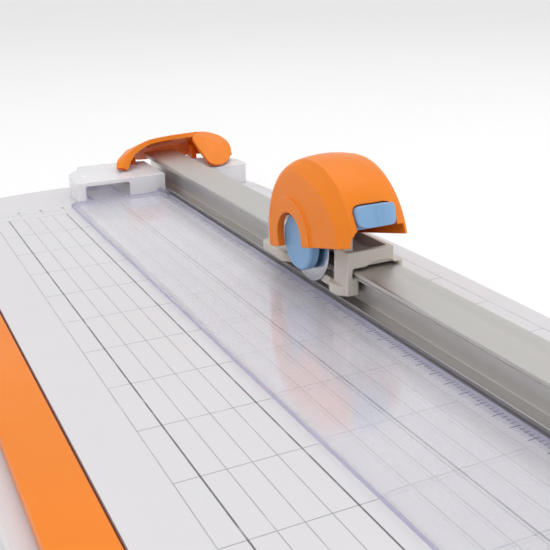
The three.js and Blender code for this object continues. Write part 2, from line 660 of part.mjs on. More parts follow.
function makeCarriage() {
  const c = carriage;
  const hookTop = rail.headBottom - 0.3;
  const slide = 0.35;
  const lipLeft = headLeft - slide;
  const lipRight = headRight + slide;
  const shoeBottom = 5.2;

  // Deck over the rail, with an open bay on the left for the blade and its holder.
  let body = box(c.left, tray.right, c.near, c.far, c.deckBottom, c.deckTop);
  body = body.add(box(tray.right - 0.5, c.right, c.near, c.far, c.deckBottom, 14.9));
  body = cut(body, box(c.left - 1, lipLeft + 2.6, -153.2, -121.6, 0, 40));

  // Walls round the tray. The near wall is cut in a flat arch over the rail.
  const nearWall = box(c.left, tray.right, c.near, c.near + 2, c.deckBottom, tray.top);
  const rightWall = box(tray.right - 1.8, tray.right, c.near, c.far, c.deckBottom, tray.top);
  const farWall = box(c.left, tray.right, c.far - 2, c.far, c.deckBottom, tray.top - 2);
  const leftWallNear = box(c.left, lipLeft, c.near, -153.2, c.deckBottom, tray.top);
  const leftWallFar = box(c.left, lipLeft, -121.6, c.far, c.deckBottom, tray.top - 2);
  body = join(body, nearWall, rightWall, farWall, leftWallNear, leftWallFar);
  const arch = prism('y', roundedShape([
    [87.4, 12, 0], [102, 12, 0], [100.2, 15.2, 1.5], [96, 15.6, 2], [91.5, 15.4, 2.5],
  ]), c.near - 1, c.near + 1.2, 5);
  body = cut(body, arch);

  // Left legs: near and far, each with a hook that runs in the groove under the rail's head.
  const hookRight = 87.4;
  const leg = (y0, y1) => join(
    box(c.left, lipLeft, y0, y1, shoeBottom, c.deckBottom + 0.5),
    box(c.left, hookRight, y0, y1, shoeBottom, hookTop),
  );
  const nearToe = prism('z', roundedShape([
    [c.left, -142.5, 1], [hookRight, -142.5, 1], [hookRight, c.near + 1.2, 1.2],
    [84.8, c.near - 0.2, 2], [81.3, c.near + 1.6, 1.8], [80.7, -157, 1.5], [80.9, -153.6, 1.5],
    [c.left, -151.2, 0.6],
  ]), shoeBottom, shoeBottom + 3.2, 5);
  const farToe = prism('z', roundedShape([
    [c.left, -132, 1], [c.left, -123.2, 0.6], [80.8, -120.8, 1.5], [80.8, c.far + 1, 2.5],
    [hookRight, c.far + 1, 1],
    [hookRight, -132, 1],
  ]), shoeBottom, shoeBottom + 3.6, 5);
  body = join(body, leg(c.near, -153.2), leg(-121.6, c.far), nearToe, farToe);
  const pocket = prism('z', roundedRect(83.9, 86.6, -151.8, -144.6, 1), shoeBottom + 1.4, shoeBottom + 6, 3);
  body = cut(body, pocket);

  // Right legs: a continuous wall with a hook.
  const hookLeft = rail.mid + rail.neckHalf + 0.6;
  const rightLeg = join(
    box(lipRight, c.right, c.near, c.far, 6.8, c.deckBottom + 0.5),
    box(hookLeft, c.right, c.near, c.far, 6.8, hookTop),
  );
  body = join(body, rightLeg);
  body = cut(body, box(102, 120, -150, -118, 0, 12.6));

  // Guide post for the press, at the near left corner. It stays below the button's spring when the
  // head is right down.
  return join(body, prism('z', roundedRect(83.4, 86.4, -159.9, -157.9, 0.5), c.deckBottom, guidePostTop, 3));
}
addPiece('carriage_frame', makeCarriage(), 'greyPlastic');

for (const [name, y] of [['glide_pad_near', -154.5], ['glide_pad_far', -113]]) {
  const padShape = roundedRect(89, 98.6, y - 5, y + 5, 1.5);
  const pad = prism('z', padShape, rail.top + 0.08, carriage.deckBottom - 0.08, 4);
  addPiece(name, pad, 'darkPlastic');
}

// ---------------------------------------------------------------------------------------------
// Cutting head: the part that is pressed down. The cover stands on a slant.
// ---------------------------------------------------------------------------------------------

const slant = new THREE.Group();
slant.position.set(0, cover.midY, cover.midZ);
slant.rotation.x = -coverTilt;
pieces.add(slant);

// Half-disc section, offset inwards by a wall thickness. The left cheek is bevelled on the near half
// and the bevel fades out over the top.
function coverSection(turn, inset) {
  const nearness = THREE.MathUtils.smoothstep(-Math.cos(turn), -0.35, 0.45);
  const mix = (full, bevelled) => THREE.MathUtils.lerp(full, bevelled, nearness);
  const [x0, x1] = [cover.left + inset, cover.right - inset];
  const low = inset * 0.8;
  const left = [
    [x0, 0], [x0, mix(26, 22.4) - low], [x0 + mix(0.5, 1.1), mix(27.3, 24.6) - low],
    [x0 + mix(1.6, 2.2), mix(28.1, 27.1) - low - 0.1], [x0 + 2.6, cover.radius - inset],
  ];
  const right = [
    [x1 - 2.6, cover.radius - inset], [x1 - 1.1, 27.8 - inset], [x1 - 0.2, 26.7 - inset],
    [x1, 25 - low], [x1, 0],
  ];
  const crown = [];
  const steps = 5;
  for (let i = 1; i < steps; i += 1) {
    const s = (i / steps) * 2 - 1;
    const x = coverMidX + s * (x1 - x0 - 5.2) / 2;
    crown.push([x, cover.radius - inset + (cover.crown - cover.radius) * (1 - s * s)]);
  }
  return [...left, ...crown, ...right];
}

function archShape(center, halfWidth, top) {
  const shape = new THREE.Shape();
  const rise = top - halfWidth;
  shape.moveTo(center + halfWidth, -6);
  shape.lineTo(center + halfWidth, rise);
  shape.absarc(center, rise, halfWidth, 0, Math.PI, false);
  shape.lineTo(center - halfWidth, -6);
  shape.closePath();
  return shape;
}

const buttonSize = { left: 80.1, right: 93.5, low: 5.6, high: 12.3 };

function makeCover() {
  const segments = 80;
  const outer = revolveX((turn) => coverSection(turn, 0), 0, 0, segments);
  const inner = revolveX((turn) => coverSection(turn, cover.wall), 0, 0, segments);
  const arch = { center: 9, halfWidth: 8.6, top: 11.6 };
  const fender = prism('x', archShape(arch.center, arch.halfWidth + 5.2, arch.top + 5.2),
    cover.left - 0.8, cover.left + 0.4, 14);
  let shell = cut(outer.add(fender), inner);
  shell = cut(shell, box(60, 120, -40, 40, -40, 0));
  const archOpening = archShape(arch.center, arch.halfWidth, arch.top);
  const archCut = prism('x', archOpening, cover.left - 3, cover.left + 2.2, 14);
  shell = cut(shell, archCut);
  const b = buttonSize;
  const notchRight = cover.right - cover.wall;
  const mouth = join(
    prism('y', roundedShape([
      [77, -8, 0], [notchRight, -8, 0], [notchRight, b.low - 0.4, 0.6], [78.2, b.low - 0.4, 3.4],
    ]), -40, -15, 6),
    prism('y', roundedShape([
      [b.left - 0.3, 0, 0], [b.right + 0.3, 0, 0], [b.right + 0.3, b.high + 0.3, 2.8],
      [b.left - 0.3, b.high + 0.3, 2.8],
    ]), -40, -15, 6),
  );
  shell = cut(shell, mouth);
  const rightHem = box(cover.right - 2.4, 120, -40, 40, -20, 1.9);
  shell = cut(shell, rightHem);
  // Room for the carriage's deck and far leg when the head is pressed right down.
  const roomTop = carriage.deckTop + pressTravel + 0.3;
  const deckRoom = levelBox(carriage.left, 125, -146, -105, roomTop - 30, roomTop);
  const legTop = tray.top - 2 + pressTravel + 0.3;
  const legRoom = levelBox(80.4, carriage.left + 4, -122.2, -105, legTop - 30, legTop);
  return cut(shell, deckRoom, legRoom);
}

// A box that is level in the bed frame, seen from the slanted frame.
function levelBox(x0, x1, y0, y1, z0, z1) {
  const geometry = new THREE.BoxGeometry(x1 - x0, y1 - y0, z1 - z0);
  geometry.translate((x0 + x1) / 2, (y0 + y1) / 2 - cover.midY, (z0 + z1) / 2 - cover.midZ);
  geometry.rotateX(coverTilt);
  return solidFrom(geometry);
}
addPiece('head_cover', makeCover(), 'orangePlastic', slant);

// Release button in the near wall of the cover, with a flange that keeps it inside.
function makeButton() {
  const b = buttonSize;
  const plan = new THREE.Shape();
  plan.moveTo(b.left, -22);
  plan.lineTo(b.left, -28.6);
  plan.quadraticCurveTo((b.left + 85.4) / 2, -30.9, 85.4, -30.6);
  plan.lineTo(86.2, -31.9);
  plan.lineTo(87.1, -30.5);
  plan.quadraticCurveTo(91, -31, b.right, -28.6);
  plan.lineTo(b.right, -22);
  plan.closePath();
  const block = prism('z', plan, b.low, b.high, 8);
  const front = prism('y', roundedRect(b.left, b.right, b.low, b.high, 2.6), -40, -20, 6);
  const flange = prism('y', roundedRect(b.left, b.right, b.low - 0.8, b.high + 0.8, 2.6), -22.8, -21.4, 6);
  const stem = rod('y', coverMidX, 9, 2, -22, -18, 20);
  return join(block.intersect(front), flange, stem);
}
addPiece('release_button', makeButton(), 'bluePlastic', slant);

// Coil spring round an axis: a round wire swept along a helix.
function coil(start, direction, turns, coilRadius, wireRadius, length) {
  const points = [];
  const perTurn = 10;
  const side = new THREE.Vector3(1, 0, 0);
  const up = new THREE.Vector3().crossVectors(direction, side);
  for (let i = 0; i <= turns * perTurn; i += 1) {
    const turn = (i / perTurn) * 2 * Math.PI;
    const along = (i / (turns * perTurn)) * (length - 2 * wireRadius) + wireRadius;
    points.push(start.clone()
      .addScaledVector(direction, along)
      .addScaledVector(side, coilRadius * Math.cos(turn))
      .addScaledVector(up, coilRadius * Math.sin(turn)));
  }
  const wire = new THREE.Shape();
  for (let i = 0; i < 5; i += 1) {
    const turn = (i / 5) * 2 * Math.PI;
    const [u, v] = [wireRadius * Math.cos(turn), wireRadius * Math.sin(turn)];
    if (i === 0) wire.moveTo(u, v);
    else wire.lineTo(u, v);
  }
  const path = new THREE.CatmullRomCurve3(points);
  const steps = Math.round(turns * perTurn);
  return solidFrom(new THREE.ExtrudeGeometry(wire, { extrudePath: path, steps, bevelEnabled: false }));
}

addPiece('button_spring', coil(
  new THREE.Vector3(coverMidX, -21.2, 9), new THREE.Vector3(0, 1, 0), 4, 2.9, 0.35, 6.8,
), 'steel', slant);

// Blade holder: a plate beside the blade, with a shelf that the springs push on.
const shelf = { low: 27.4, high: 29, right: 94.6, near: -157.6, far: -126 };

function makeHolder() {
  const plateShape = roundedShape([
    [axle.y - 4.6, axle.z - 4.2, 3.5], [axle.y + 4.6, axle.z - 4.2, 3.5], [axle.y + 6, axle.z + 4, 2],
    [shelf.far, shelf.low + 0.6, 1], [shelf.far, shelf.high, 1], [shelf.near, shelf.high, 1],
    [shelf.near, shelf.low + 0.6, 1], [axle.y - 6, axle.z + 4, 2],
  ]);
  const plate = prism('x', plateShape, 83.2, 85.1, 5);
  const top = prism('z', roundedRect(83.2, shelf.right, shelf.near, shelf.far, 1.5), shelf.low, shelf.high, 4);
  const makeSeat = (y) => rod('z', 90.4, y, 1.7, shelf.low - 2, shelf.low + 0.5, 20);
  const seats = Object.values(pressSpringY).map(makeSeat);
  const springStop = box(84, 92, shelf.near, shelf.near + 1.6, shelf.low, shelf.high + 5.4);
  const body = join(plate, top, ...seats, springStop);
  return cut(body, rod('x', axle.y, axle.z, axle.radius + 0.01, 80, 90));
}
addPiece('blade_holder', makeHolder(), 'darkPlastic');

for (const [name, y] of [['press_spring_near', pressSpringY.near], ['press_spring_far', pressSpringY.far]]) {
  const low = carriage.deckTop + 0.1;
  const length = shelf.low - 0.1 - low;
  addPiece(name, coil(
    new THREE.Vector3(90.4, y, low), new THREE.Vector3(0, 0, 1), 5, 2.5, 0.4, length,
  ), 'steel');
}

function makeAxle() {
  const pin = rod('x', axle.y, axle.z, axle.radius, 80.2, 85.1);
  const head = rod('x', axle.y, axle.z, 3.4, 79.2, 80.3);
  return join(pin, head);
}
addPiece('blade_axle', makeAxle(), 'steel');

// The blade, its washer and the blue hub turn together on the axle.
const bladeLeft = cutX - blade.thick / 2;
const bladeRight = cutX + blade.thick / 2;

function makeBlade() {
  const r = blade.radius;
  const section = [[bladeLeft, 0], [bladeLeft, r - 1.4], [cutX, r], [bladeRight, r - 1.4], [bladeRight, 0]];
  const disc = revolveX(section, axle.y, axle.z, 56);
  return cut(disc, rod('x', axle.y, axle.z, axle.radius + runningGap, 80, 90));
}
addPiece('blade', makeBlade(), 'steel');

function makeHub() {
  const left = 78.1;
  const body = revolveX([
    [left + 0.35, 0], [left + 0.35, 7.4], [left, 8.6], [left + 0.15, 9.5], [left + 0.6, 9.8], [81.3, 9.8],
    [81.3, 6.4], [bladeLeft - 0.06, 6.4], [bladeLeft - 0.06, 0],
  ], axle.y, axle.z, 36);
  const headRoom = rod('x', axle.y, axle.z, 3.4 + 0.3, 78.9, 80.5);
  const bore = rod('x', axle.y, axle.z, axle.radius + runningGap, 80, 90);
  return cut(body, headRoom, bore);
}
addPiece('blade_hub', makeHub(), 'bluePlastic');

function makeWasher() {
  const ring = rod('x', axle.y, axle.z, 5, bladeRight + 0.05, 83.12);
  return cut(ring, rod('x', axle.y, axle.z, axle.radius + runningGap, 80, 90));
}
addPiece('blade_washer', makeWasher(), 'steel');

// The origin lies on the desk, under the middle of the object's box.
const whole = new THREE.Box3().setFromObject(pieces);
pieces.position.set(-(whole.min.x + whole.max.x) / 2, -(whole.min.y + whole.max.y) / 2, -whole.min.z);

export default trimmer;
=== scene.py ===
import json
import math

import bmesh
import bpy
from mathutils import Matrix, Vector


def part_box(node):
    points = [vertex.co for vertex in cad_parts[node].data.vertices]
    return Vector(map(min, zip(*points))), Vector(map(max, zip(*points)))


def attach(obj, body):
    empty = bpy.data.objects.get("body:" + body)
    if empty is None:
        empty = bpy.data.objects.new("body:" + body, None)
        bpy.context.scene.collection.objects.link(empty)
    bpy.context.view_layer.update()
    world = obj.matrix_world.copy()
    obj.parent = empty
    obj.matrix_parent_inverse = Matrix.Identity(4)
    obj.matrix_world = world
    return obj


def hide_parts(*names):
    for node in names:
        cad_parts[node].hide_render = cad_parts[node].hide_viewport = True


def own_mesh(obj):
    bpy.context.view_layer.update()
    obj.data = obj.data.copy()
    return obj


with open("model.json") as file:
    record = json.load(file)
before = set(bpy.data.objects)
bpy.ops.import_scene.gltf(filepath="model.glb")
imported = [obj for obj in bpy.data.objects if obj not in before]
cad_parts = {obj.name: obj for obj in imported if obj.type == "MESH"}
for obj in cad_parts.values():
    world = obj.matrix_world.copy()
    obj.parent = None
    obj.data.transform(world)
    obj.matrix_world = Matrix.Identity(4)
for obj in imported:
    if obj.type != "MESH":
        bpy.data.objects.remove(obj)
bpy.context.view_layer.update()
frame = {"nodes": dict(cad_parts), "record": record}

MM = 0.001
INCH = 25.4
joints = {joint["name"]: joint for joint in frame["record"]["behaviour"]["joints"]}

# The rulings are printed from the cutting line, which passes through the blade's pin, and start one
# margin inside the far end of the mat strip. The work surface is the strip's top.
PIN = Vector(joints["blade_spin"]["pos_m"])
STRIP_MARGIN = 8.8 * MM
strip_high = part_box("cutting_mat_strip")[1]
CUT_X = PIN.x
RULE_FAR = strip_high.y - STRIP_MARGIN
SURFACE = strip_high.z
FIELD_LONG = 12 * INCH

# Values that several materials share.
CORNER_RADIUS = 0.4 * MM
GRAIN_DEPTH = 0.2 * MM
DRAWN_DEPTH = 0.06 * MM
# Half the width of the soft edge of a printed line, in millimetres.
INK_EDGE = 0.06
# A printed line's distance is counted from this many steps further, so that it is never negative.
STEPS_FURTHER = 400


# ---------------------------------------------------------------------------
# Materials
# ---------------------------------------------------------------------------


class Shader:
    """A node material with short helpers for procedural detail."""

    def __init__(self, name):
        self.material = bpy.data.materials.new(name)
        self.material.use_nodes = True
        self.tree = self.material.node_tree
        self.nodes = self.tree.nodes
        self.bsdf = self.nodes["Principled BSDF"]
        self.surface = self.nodes["Material Output"].inputs["Surface"]
        coords = self.nodes.new("ShaderNodeTexCoord")
        self.place = coords.outputs["Object"]

    def link(self, source, target):
        self.tree.links.new(source, target)

    def put(self, socket, value):
        if hasattr(value, "is_output"):
            self.link(value, socket)
        else:
            socket.default_value = value

    def math(self, operation, a, b=0.0):
        node = self.nodes.new("ShaderNodeMath")
        node.operation = operation
        self.put(node.inputs[0], a)
        self.put(node.inputs[1], b)
        return node.outputs[0]

    def noise(self, scale, detail=3.0, stretch=(1, 1, 1)):
        mapping = self.nodes.new("ShaderNodeMapping")
        self.link(self.place, mapping.inputs["Vector"])
        mapping.inputs["Scale"].default_value = stretch
        node = self.nodes.new("ShaderNodeTexNoise")
        self.link(mapping.outputs[0], node.inputs["Vector"])
        node.inputs["Scale"].default_value = scale
        node.inputs["Detail"].default_value = detail
        node.inputs["Roughness"].default_value = 0.55
        return node.outputs["Fac"]

    def remap(self, value, from_low, from_high, to_low, to_high):
        node = self.nodes.new("ShaderNodeMapRange")
        self.put(node.inputs["Value"], value)
        node.inputs["From Min"].default_value = from_low
        node.inputs["From Max"].default_value = from_high
        node.inputs["To Min"].default_value = to_low
        node.inputs["To Max"].default_value = to_high
        return node.outputs["Result"]

    def mix(self, factor, a, b):
        node = self.nodes.new("ShaderNodeMix")
        node.data_type = "RGBA"
        self.put(node.inputs[0], factor)
        self.put(node.inputs[6], a if hasattr(a, "is_output") else (*a, 1.0))
        self.put(node.inputs[7], b if hasattr(b, "is_output") else (*b, 1.0))
        return node.outputs[2]

    def edge(self, radius):
        """About 1 along corners, inside or outside, and 0 on flats."""
        bevel = self.nodes.new("ShaderNodeBevel")
        bevel.samples = 4
        bevel.inputs["Radius"].default_value = radius
        geometry = self.nodes.new("ShaderNodeNewGeometry")
        dot = self.nodes.new("ShaderNodeVectorMath")
        dot.operation = "DOT_PRODUCT"
        self.link(bevel.outputs[0], dot.inputs[0])
        self.link(geometry.outputs["Normal"], dot.inputs[1])
        turned = self.math("SUBTRACT", 1.0, dot.outputs["Value"])
        return self.remap(turned, 0.02, 0.25, 0.0, 1.0)

    def bump(self, height, strength, distance):
        node = self.nodes.new("ShaderNodeBump")
        node.inputs["Strength"].default_value = strength
        node.inputs["Distance"].default_value = distance
        self.link(height, node.inputs["Height"])
        return node.outputs[0]

    def rulings(self):
        """Millimetres left of the cutting line, nearer than the first cross line and above the surface."""
        split = self.nodes.new("ShaderNodeSeparateXYZ")
        self.link(self.place, split.inputs[0])
        x, y, z = split.outputs

        def millimetres(a, b):
            return self.math("MULTIPLY", self.math("SUBTRACT", a, b), 1000.0)

        return millimetres(CUT_X, x), millimetres(RULE_FAR, y), millimetres(z, SURFACE)

    def between(self, value, low, high):
        above = self.math("GREATER_THAN", value, low)
        below = self.math("LESS_THAN", value, high)
        return self.math("MULTIPLY", above, below)

    def stroke(self, away, width):
        """1 on a line of this width and 0 off it, from the distance to its middle."""
        return self.remap(away, width * 0.5 - INK_EDGE, width * 0.5 + INK_EDGE, 1.0, 0.0)

    def lines(self, value, step, width):
        """Lines at every step."""
        away = self.math("PINGPONG", self.math("ADD", value, STEPS_FURTHER * step), step / 2)
        return self.stroke(away, width)

    def line_at(self, value, place, width):
        """One line."""
        return self.stroke(self.math("ABSOLUTE", self.math("SUBTRACT", value, place)), width)

    def both(self, *masks):
        mask = masks[0]
        for other in masks[1:]:
            mask = self.math("MULTIPLY", mask, other)
        return mask

    def either(self, *masks):
        mask = masks[0]
        for other in masks[1:]:
            mask = self.math("MAXIMUM", mask, other)
        return mask

    def simple(self, kind, colour):
        """The output of a shader node that is only a colour."""
        node = self.nodes.new("ShaderNodeBsdf" + kind)
        node.inputs["Color"].default_value = (*colour, 1.0)
        return node.outputs[0]

    def blend(self, factor, first, second):
        """The first shader where the factor is 0 and the second where it is 1."""
        node = self.nodes.new("ShaderNodeMixShader")
        self.put(node.inputs["Fac"], factor)
        self.link(first, node.inputs[1])
        self.link(second, node.inputs[2])
        return node.outputs[0]

    def pass_shadows(self, tint):
        """Shadow rays go straight through a clear piece, as real light mostly does."""
        path = self.nodes.new("ShaderNodeLightPath")
        through = self.simple("Transparent", tint)
        whole = self.surface.links[0].from_socket
        self.link(self.blend(path.outputs["Is Shadow Ray"], whole, through), self.surface)

    def set(self, **values):
        for name, value in values.items():
            self.put(self.bsdf.inputs[name.replace("_", " ")], value)


def srgb(r, g, b):
    def channel(v):
        v /= 255
        return v / 12.92 if v <= 0.04045 else ((v + 0.055) / 1.055) ** 2.4

    return (channel(r), channel(g), channel(b))


def moulded(
    name, colour, roughness=0.42, grain=0.05, scale=2600, shift=0.05, soft=0.0, worn=None, shade_colour=None
):
    """Moulded plastic: fine spark grain, slight colour drift and paler rubbed corners. Where a shade colour
    is given, hollows found by ambient occlusion take it: painted shade, reddened as light that passes through
    the plastic more than once would redden it."""
    s = Shader(name)
    drift = s.noise(35, 2.0)
    lighter = tuple(min(1.0, c * (1 + shift) + 0.004) for c in colour)
    darker = tuple(c * (1 - shift) for c in colour)
    base = s.mix(drift, darker, lighter)
    # Painted shade: the more a spot is occluded, the more its colour turns to the shade colour.
    if shade_colour is not None:
        occlusion_shade = s.nodes.new("ShaderNodeAmbientOcclusion")
        occlusion_shade.samples = 6
        occlusion_shade.inputs["Distance"].default_value = 0.02
        base = s.mix(s.remap(occlusion_shade.outputs["AO"], 0.2, 0.75, 0.85, 0.0), base, shade_colour)
    rubbed = worn or tuple(min(1.0, c * 1.25 + 0.03) for c in colour)
    wear = s.math("MULTIPLY", s.edge(CORNER_RADIUS), s.remap(s.noise(420, 4.0), 0.45, 0.7, 0.15, 0.75))
    s.set(Base_Color=s.mix(wear, base, rubbed))
    smudge = s.noise(90, 4.0)
    s.set(Roughness=s.remap(smudge, 0.3, 0.7, roughness - 0.06, roughness + 0.08))
    s.set(Normal=s.bump(s.noise(scale, 2.0), grain, GRAIN_DEPTH))
    s.set(IOR=1.49, Specular_IOR_Level=0.35, Subsurface_Weight=soft, Subsurface_Scale=0.002)
    return s


def brushed(name, colour, along, roughness=0.33, strength=0.12):
    """Metal with fine drawn lines along one axis."""
    s = Shader(name)
    stretch = [1.0, 1.0, 1.0]
    stretch[along] = 0.012
    lines = s.noise(5200, 3.0, stretch)
    broad = s.noise(260, 2.0, stretch)
    darker = tuple(c * 0.93 for c in colour)
    lighter = tuple(min(1, c * 1.05) for c in colour)
    s.set(Base_Color=s.mix(broad, darker, lighter))
    s.set(Metallic=1.0, Roughness=s.remap(lines, 0.25, 0.75, roughness - 0.07, roughness + 0.1))
    s.set(Normal=s.bump(lines, strength, DRAWN_DEPTH))
    return s


def printed_bed(name):
    """The bed's plastic with its printed rulings, drawn from bed coordinates."""
    s = moulded(name, srgb(218, 216, 219), roughness=0.4, grain=0.04, shift=0.015, soft=0.05)
    across, along, height = s.rulings()
    between, lines, line_at, both, either = s.between, s.lines, s.line_at, s.both, s.either
    field_wide = 13 * INCH / 4
    quarter_line, inch_line, cross_line, millimetre_line = 0.26, 0.5, 0.3, 0.16
    top = between(height, -0.05, 1.3)
    field_y = between(along, -0.3, FIELD_LONG + 0.2)
    field_x = between(across, -0.2, field_wide + 0.2)
    quarter = both(lines(across, INCH / 4, quarter_line), field_x, field_y)
    inch = both(lines(across, INCH, inch_line), field_x, field_y)
    cross_x = between(across, INCH / 4 - 0.2, field_wide + 0.1)
    cross = both(lines(along, INCH, cross_line), cross_x, field_y)

    # The metric scale lies beyond the field, and its ticks grow from its far edge towards the field.
    scale_long, scale_far, centimetre_end, millimetre_end = 100.0, -8.2, -4.5, -6.6
    scale = between(across, -0.2, scale_long)
    centimetre = both(lines(across, 10.0, cross_line), scale, between(along, scale_far, centimetre_end))
    millimetre = both(lines(across, 1.0, millimetre_line), scale, between(along, scale_far, millimetre_end))

    # Two lines run along the scrap side, with a rung between them at every inch.
    ladder_inner = line_at(across, -1.5 * INCH, cross_line)
    ladder_outer = line_at(across, -1.75 * INCH, cross_line)
    ladder_x = between(across, -1.755 * INCH, -1.495 * INCH)
    ladder_sides = both(either(ladder_inner, ladder_outer), field_y)
    ladder_rungs = both(lines(along, INCH, cross_line), ladder_x, field_y)
    faint = either(quarter, cross, centimetre, millimetre, ladder_sides, ladder_rungs)
    rubbed = s.remap(s.noise(160, 3.0), 0.3, 0.5, 0.55, 1.0)
    ink_faint = both(faint, top, rubbed)
    ink_dark = both(inch, top, rubbed)
    plain = s.bsdf.inputs["Base Color"].links[0].from_socket
    inked = s.mix(s.math("MULTIPLY", ink_faint, 0.62), plain, srgb(112, 112, 124))
    inked = s.mix(s.math("MULTIPLY", ink_dark, 0.78), inked, srgb(78, 78, 90))
    s.set(Base_Color=inked)
    return s


def ruled_clear(name, tint, roughness=0.04):
    """Clear moulded plastic with fine flow lines, and a printed ladder of ticks beside the cutting line."""
    s = Shader(name)
    s.set(Base_Color=(*tint, 1.0), Transmission_Weight=1.0, IOR=1.3)
    s.set(Roughness=s.remap(s.noise(60, 3.0), 0.3, 0.7, roughness, roughness + 0.06))
    s.set(Normal=s.bump(s.noise(300, 2.0, (1, 0.1, 1)), 0.03, GRAIN_DEPTH))
    across, along, height = s.rulings()
    tick_start, fine_end, coarse_end = 2.6, 4.4, 6.2
    field = s.both(s.between(along, -0.3, FIELD_LONG + 0.2), s.between(height, 2.0, 3.4))
    fine = s.both(s.lines(along, INCH / 16, 0.2), s.between(across, tick_start, fine_end), field)
    coarse = s.both(s.lines(along, INCH / 4, 0.26), s.between(across, tick_start, coarse_end), field)
    printed = s.math("MULTIPLY", s.either(fine, coarse), 0.8)

    # The strip is thin, so part of what lies under it is seen with no bending.
    clear = s.blend(0.5, s.bsdf.outputs[0], s.simple("Transparent", (1, 1, 1)))
    ticked = s.blend(printed, clear, s.simple("Diffuse", srgb(92, 92, 106)))

    # Light that travels along inside the strip comes out at its sides with a violet cast.
    facing = s.nodes.new("ShaderNodeNewGeometry")
    upright = s.nodes.new("ShaderNodeSeparateXYZ")
    s.link(facing.outputs["True Normal"], upright.inputs[0])
    side = s.remap(s.math("ABSOLUTE", upright.outputs[2]), 0.35, 0.75, 0.85, 0.0)
    s.link(s.blend(side, ticked, s.simple("Diffuse", srgb(186, 183, 210))), s.surface)
    s.pass_shadows((0.95, 0.95, 0.97))
    return s


def milky(name, tint):
    """Frosted translucent plastic."""
    s = moulded(name, tint, roughness=0.22, grain=0.03, scale=1500, shift=0.02)
    s.set(Transmission_Weight=0.35, IOR=1.4)
    s.pass_shadows((0.8, 0.8, 0.82))
    return s


def rubber(name):
    return moulded(name, srgb(38, 38, 40), roughness=0.75, grain=0.25, scale=900, shift=0.2)


ORANGE = srgb(240, 130, 6)
looks = {
    "white_plastic": printed_bed("bed_plastic"),
    # The orange pieces get a painted deep red-orange shade in their hollows.
    "orange_plastic": moulded(
        "orange_plastic", ORANGE, 0.34, 0.03, soft=0.02, worn=srgb(252, 158, 60), shade_colour=srgb(196, 52, 10)
    ),
    "blue_plastic": moulded("blue_plastic", srgb(134, 176, 216), 0.36, 0.05, soft=0.05),
    "warm_grey_plastic": moulded("warm_grey_plastic", srgb(206, 199, 191), 0.4, 0.05, soft=0.05),
    "dark_plastic": moulded("dark_plastic", srgb(58, 58, 62), 0.5, 0.08),
    "clear_plastic": ruled_clear("clear_plastic", srgb(250, 249, 254)),
    "milky_plastic": milky("milky_plastic", srgb(250, 249, 252)),
    "rail_aluminium": brushed("rail_aluminium", srgb(207, 204, 201), 1, 0.36, 0.1),
    "steel": brushed("plated_steel", srgb(196, 196, 200), 2, 0.24, 0.05),
    "blade_steel": brushed("blade_steel", srgb(214, 214, 218), 0, 0.18, 0.06),
    "rubber_feet": rubber("foot_rubber"),
    "cutting_mat": moulded("mat_plastic", srgb(176, 176, 184), 0.6, 0.2, scale=900),
}
ink = moulded("ruling_ink", srgb(84, 84, 96), 0.45, 0.03)


def dress(obj, look):
    obj.data.materials.clear()
    obj.data.materials.append(look.material)


def smooth(obj, angle=35):
    obj.data.polygons.foreach_set("use_smooth", [True] * len(obj.data.polygons))
    obj.data.set_sharp_from_angle(angle=math.radians(angle))


# ---------------------------------------------------------------------------
# Building helpers
# ---------------------------------------------------------------------------


def add_mesh(name, vertices, faces):
    mesh = bpy.data.meshes.new(name)
    mesh.from_pydata([tuple(v) for v in vertices], [], faces)
    work = bmesh.new()
    work.from_mesh(mesh)
    bmesh.ops.remove_doubles(work, verts=work.verts, dist=1e-8)
    bmesh.ops.recalc_face_normals(work, faces=work.faces)
    work.to_mesh(mesh)
    work.free()
    obj = bpy.data.objects.new(name, mesh)
    bpy.context.scene.collection.objects.link(obj)
    return obj


def settle(obj):
    """Applies the modifiers."""
    bpy.context.view_layer.update()
    evaluated = obj.evaluated_get(bpy.context.evaluated_depsgraph_get())
    mesh = bpy.data.meshes.new_from_object(evaluated)
    obj.modifiers.clear()
    obj.data = mesh


def finish_piece(obj, body, node):
    """The piece takes the place of a CAD node, with that node's material."""
    dress(obj, looks[slot_of[node]])
    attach(obj, body)
    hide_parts(node)


def moulding(node, body, voxel, passes, keep=0.4):
    """A copy of a CAD node with every corner and facet relaxed, as a mould rounds them. voxel is in
    millimetres, and keep is the share of the triangles that stays."""
    obj = bpy.data.objects.new("moulded_" + node, frame["nodes"][node].data.copy())
    bpy.context.scene.collection.objects.link(obj)
    remesh = obj.modifiers.new("voxels", "REMESH")
    remesh.mode = "VOXEL"
    remesh.voxel_size = voxel * MM
    relax = obj.modifiers.new("relax", "SMOOTH")
    relax.factor = 0.5
    relax.iterations = passes
    thin = obj.modifiers.new("thin", "DECIMATE")
    thin.ratio = keep
    settle(obj)
    obj.data.polygons.foreach_set("use_smooth", [True] * len(obj.data.polygons))
    finish_piece(obj, body, node)


# ---------------------------------------------------------------------------
# CAD nodes that are shown as they are
# ---------------------------------------------------------------------------

slot_of = {part["node"]: part["material_slot"] for part in frame["record"]["subparts"]}
for node_name, node in frame["nodes"].items():
    dress(node, looks[slot_of[node_name]])
    smooth(node)

# ---------------------------------------------------------------------------
# Moulded pieces
# ---------------------------------------------------------------------------

